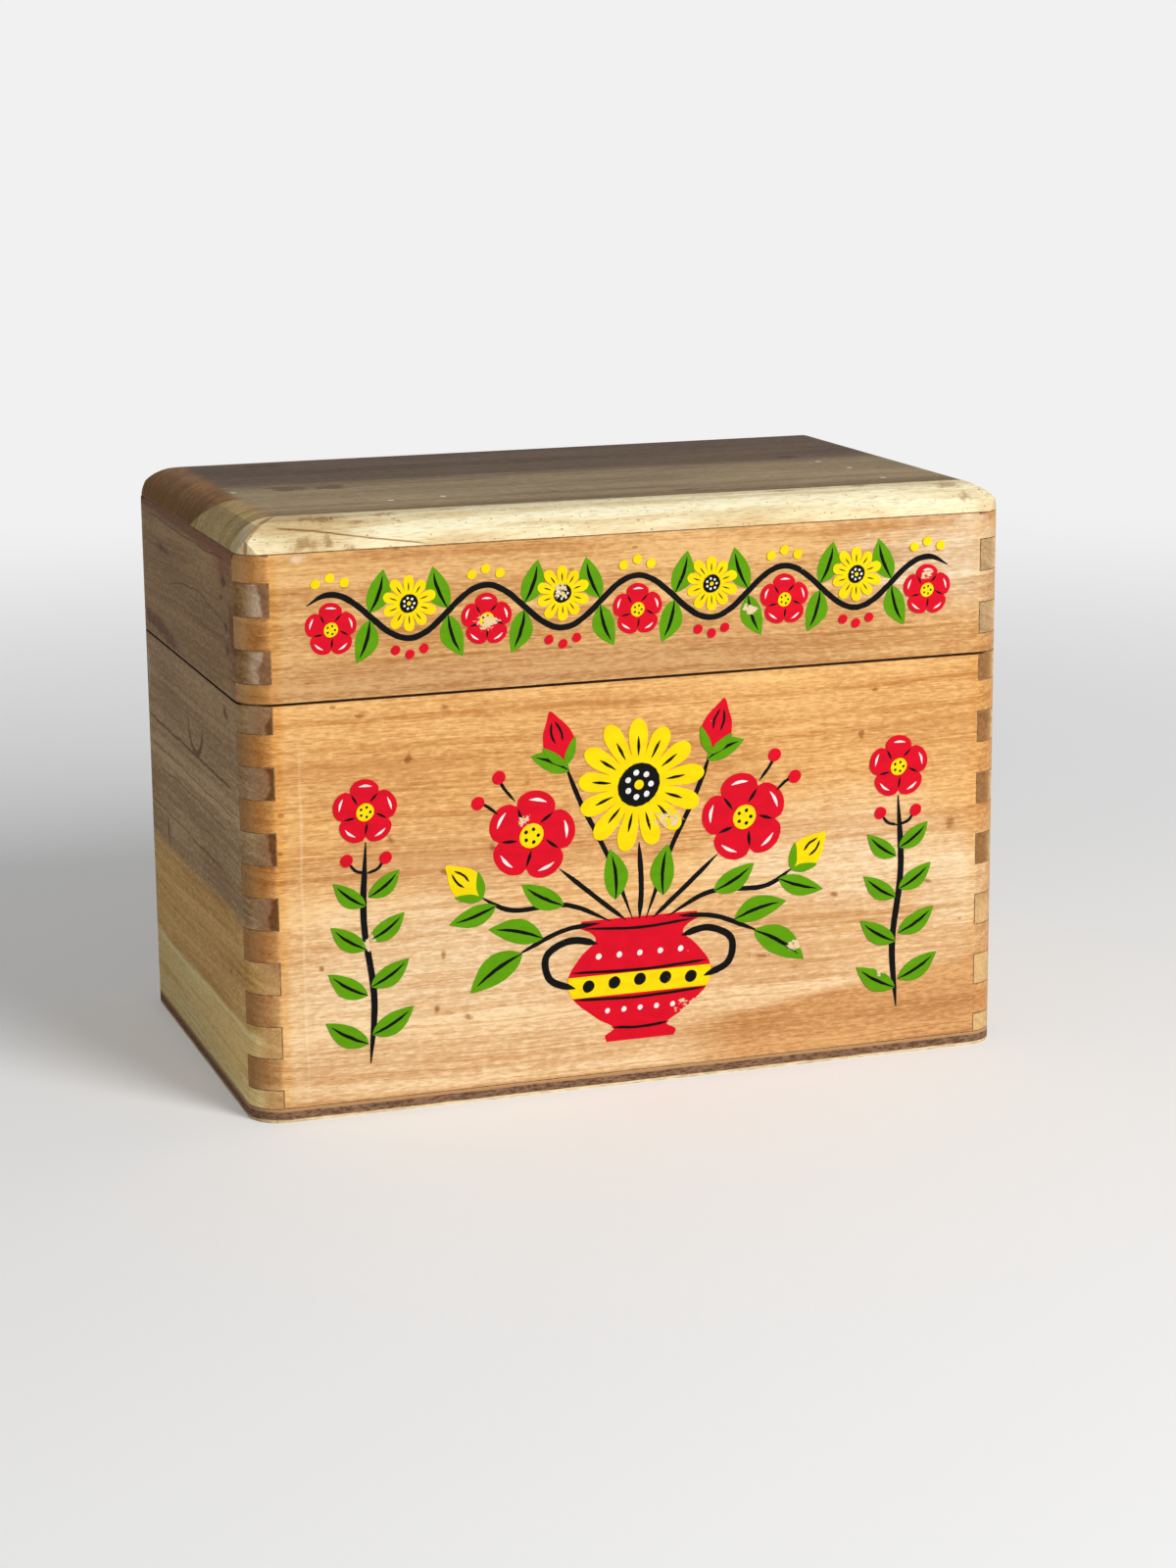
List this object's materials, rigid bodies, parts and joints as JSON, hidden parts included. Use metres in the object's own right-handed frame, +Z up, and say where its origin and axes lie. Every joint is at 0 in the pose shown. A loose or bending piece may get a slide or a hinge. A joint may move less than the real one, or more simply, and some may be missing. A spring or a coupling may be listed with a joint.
{
  "type": "recipe card box",
  "caption": "Wooden card box with finger-jointed corners, rounded edges and a lid hinged at the back.",
  "frame": {"origin": "on the surface the box stands on, under the middle of the wooden case", "axes": "+X to the right as seen from the painted front, -Y out of the front, +Z up"},
  "size_m": [0.146, 0.0927, 0.1084],
  "materials": {
    "front_wood": "aged clear lacquer over warm tan hardwood, painted flowers on the front",
    "side_wood": "aged clear lacquer over greyer, darker hardwood",
    "top_wood": "worn and stained clear lacquer with a pale sapwood front edge",
    "plywood": "thin three-ply panel with a dark brown core",
    "brass": "dulled brass"
  },
  "bodies": {
    "body": {"body_front_board": "front_wood", "body_back_board": "front_wood", "body_left_board": "side_wood", "body_right_board": "side_wood", "bottom_panel": "plywood", "left_hinge_lower_leaf": "brass", "left_hinge_pin": "brass", "left_lower_leaf_nail_1": "brass", "left_lower_leaf_nail_2": "brass", "right_hinge_lower_leaf": "brass", "right_hinge_pin": "brass", "right_lower_leaf_nail_1": "brass", "right_lower_leaf_nail_2": "brass"},
    "lid": {"lid_front_board": "front_wood", "lid_back_board": "front_wood", "lid_left_board": "side_wood", "lid_right_board": "side_wood", "lid_top_board": "top_wood", "left_hinge_upper_leaf": "brass", "left_upper_leaf_nail_1": "brass", "left_upper_leaf_nail_2": "brass", "right_hinge_upper_leaf": "brass", "right_upper_leaf_nail_1": "brass", "right_upper_leaf_nail_2": "brass"}
  },
  "joints": [
    {"name": "lid_hinge", "type": "hinge", "parent": "body", "child": "lid", "pos_m": [0, 0.04645, 0.0764], "axis": [-1, 0, 0], "range_deg": [0, 175]}
  ]
}
